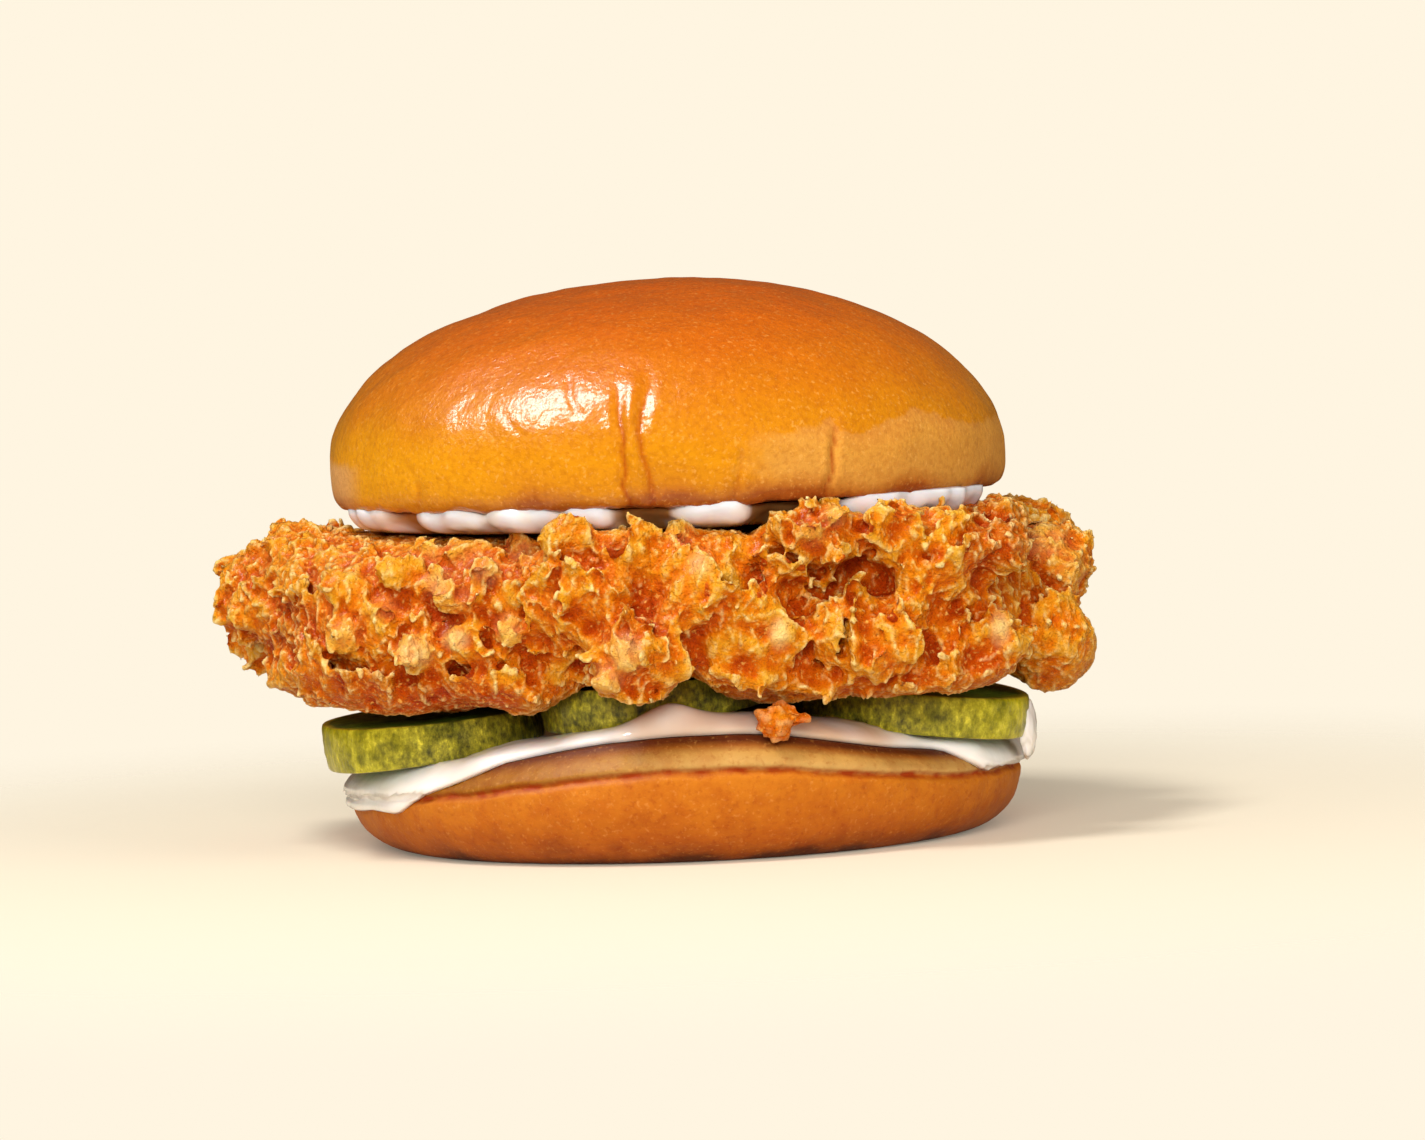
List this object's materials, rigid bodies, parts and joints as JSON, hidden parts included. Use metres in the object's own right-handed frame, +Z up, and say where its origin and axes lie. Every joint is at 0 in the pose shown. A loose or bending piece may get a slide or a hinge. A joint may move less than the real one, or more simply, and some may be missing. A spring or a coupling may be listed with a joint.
{
  "type": "chicken burger",
  "caption": "Fried chicken burger: a glossy brioche bun closed over a craggy fried fillet, pickle slices and mayonnaise, with the bottom bun below.",
  "frame": {"origin": "the floor contact point under the centre of the burger's footprint", "axes": "+X runs along the fillet's long side, -Y is the shown side, +Z is up"},
  "size_m": [0.1418, 0.114, 0.0895],
  "materials": {
    "brioche_crust": "egg washed bread crust, gloss",
    "heel_crust": "soft bread crust, satin to matt",
    "fried_batter": "fried flour crust, rough with oily glints",
    "mayonnaise": "wet, soft gloss",
    "pickle": "wet cucumber skin and flesh"
  },
  "bodies": {
    "root": {"top_bun": "brioche_crust", "upper_mayo": "mayonnaise", "chicken_fillet": "fried_batter", "pickle_left": "pickle", "pickle_middle": "pickle", "pickle_right": "pickle", "pickle_back": "pickle", "lower_mayo": "mayonnaise", "bottom_bun": "heel_crust", "batter_crumb": "fried_batter"}
  },
  "joints": []
}
